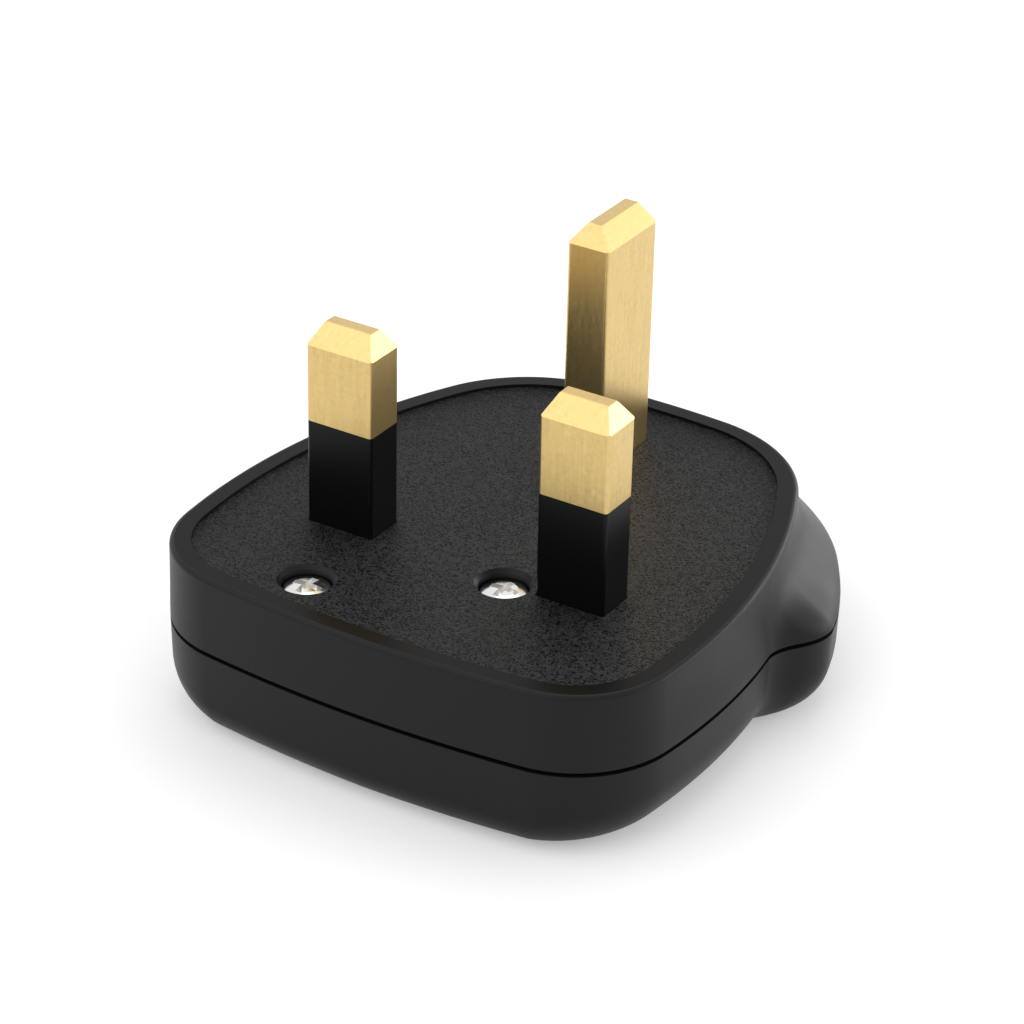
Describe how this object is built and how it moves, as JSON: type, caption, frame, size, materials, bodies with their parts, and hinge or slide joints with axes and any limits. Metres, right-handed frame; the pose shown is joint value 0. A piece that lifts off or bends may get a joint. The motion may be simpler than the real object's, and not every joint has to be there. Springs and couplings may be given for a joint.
{
  "type": "uk three pin plug",
  "caption": "Rewirable mains plug with sleeved rectangular brass pins, an earth pin, a two-part black housing with a flared grip, and its fuse and terminals inside.",
  "frame": {"origin": "on the cover's outer flat face, below the middle of the line through the live and neutral pins", "axes": "+X from the live pin to the neutral pin, +Y towards the earth pin, +Z along the pins, away from the cover"},
  "size_m": [0.0514, 0.0523, 0.0374],
  "materials": {
    "moulding": "satin black moulded plastic, fine grain on the sunk pin face",
    "sleeve": "satin black sleeve",
    "pin_brass": "brushed solid brass",
    "terminal_brass": "machined brass",
    "clip_brass": "pressed spring brass",
    "screw_steel": "bright zinc plated steel",
    "fuse_ceramic": "glazed white ceramic tube",
    "fuse_cap": "nickel plated cap",
    "grip_fibre": "moulded cord grip"
  },
  "bodies": {
    "root": {"base": "moulding", "cover": "moulding", "live_pin": "pin_brass", "neutral_pin": "pin_brass", "earth_pin": "pin_brass", "live_pin_sleeve": "sleeve", "neutral_pin_sleeve": "sleeve", "fuse_body": "fuse_ceramic", "fuse_cap_front": "fuse_cap", "fuse_cap_back": "fuse_cap", "fuse_clip_pin": "clip_brass", "fuse_clip_terminal": "clip_brass", "clip_rivet": "terminal_brass", "live_terminal": "terminal_brass", "live_terminal_screw": "screw_steel", "neutral_terminal_screw": "screw_steel", "earth_terminal_screw": "screw_steel", "cord_grip": "grip_fibre", "cord_grip_screw_left": "screw_steel", "cord_grip_screw_right": "screw_steel", "cover_screw_left": "screw_steel", "cover_screw_right": "screw_steel", "cover_insert_left": "terminal_brass", "cover_insert_right": "terminal_brass"}
  },
  "joints": []
}
